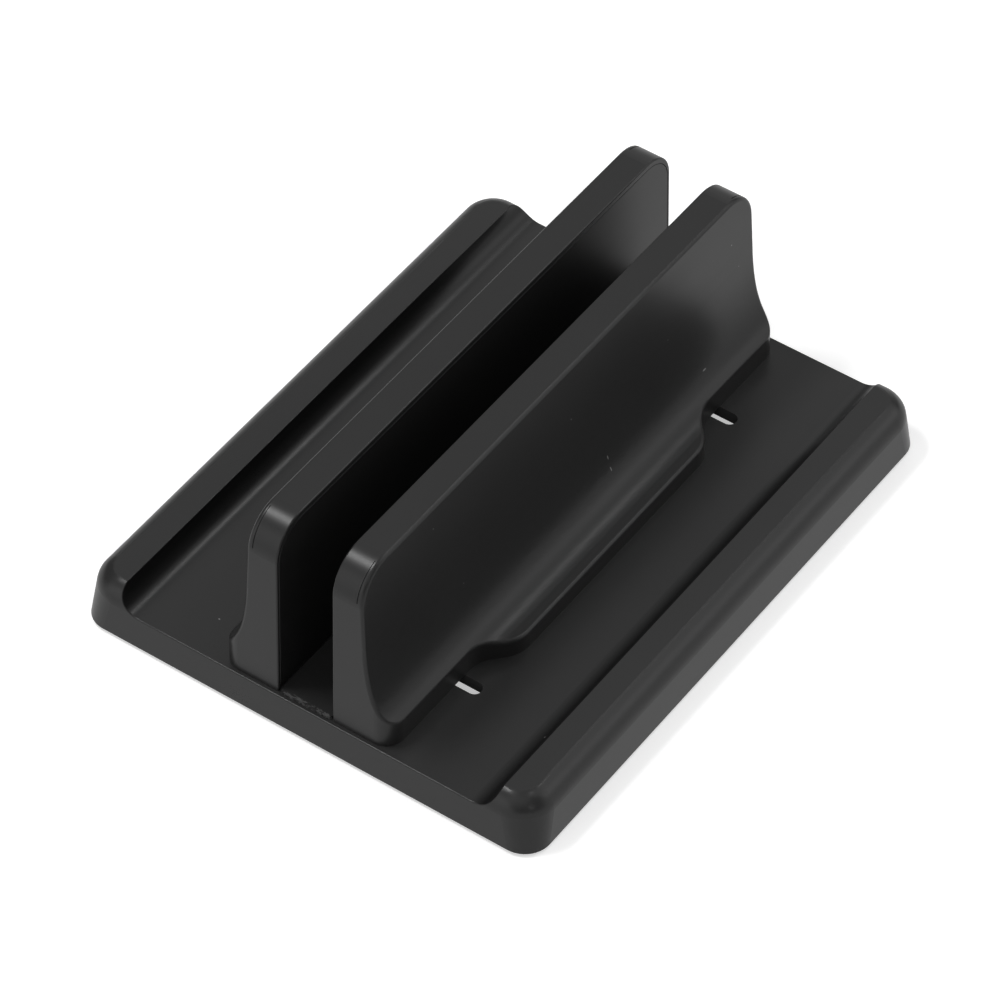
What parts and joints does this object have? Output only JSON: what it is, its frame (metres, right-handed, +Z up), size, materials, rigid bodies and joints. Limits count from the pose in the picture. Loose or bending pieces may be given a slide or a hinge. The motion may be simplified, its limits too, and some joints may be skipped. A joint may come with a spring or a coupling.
{
  "type": "vertical laptop stand",
  "caption": "Desk stand that holds a closed laptop on edge between two sliding upright brackets on a shallow moulded tray with curled side rims and a rubber mat.",
  "frame": {"origin": "on the table, under the middle of the tray", "axes": "+X across the stand to the right seen from its front, +Y from its front to its back, +Z up"},
  "size_m": [0.159, 0.2, 0.075],
  "materials": {
    "stand_plastic": "fine satin moulded",
    "cover_plastic": "fine satin moulded",
    "mat_rubber": "matt sheet, cut edges",
    "foot_rubber": "matt",
    "insert_brass": "turned",
    "screw_steel": "plated"
  },
  "bodies": {
    "base": {"base_tray": "stand_plastic", "base_mat": "mat_rubber", "rubber_foot_front_left": "foot_rubber", "rubber_foot_front_right": "foot_rubber", "rubber_foot_back_left": "foot_rubber", "rubber_foot_back_right": "foot_rubber"},
    "left_bracket": {"left_bracket_shell": "stand_plastic", "left_inner_cover": "cover_plastic", "left_threaded_insert_front": "insert_brass", "left_washer_front": "screw_steel", "left_clamp_screw_front": "screw_steel", "left_threaded_insert_back": "insert_brass", "left_washer_back": "screw_steel", "left_clamp_screw_back": "screw_steel"},
    "right_bracket": {"right_bracket_shell": "stand_plastic", "right_inner_cover": "cover_plastic", "right_threaded_insert_front": "insert_brass", "right_washer_front": "screw_steel", "right_clamp_screw_front": "screw_steel", "right_threaded_insert_back": "insert_brass", "right_washer_back": "screw_steel", "right_clamp_screw_back": "screw_steel"}
  },
  "joints": [
    {"name": "left_bracket_slide", "type": "slide", "parent": "base", "child": "left_bracket", "axis": [-1, 0, 0], "range_m": [0, 0.0155]},
    {"name": "right_bracket_slide", "type": "slide", "parent": "base", "child": "right_bracket", "axis": [1, 0, 0], "range_m": [0, 0.0155]}
  ]
}
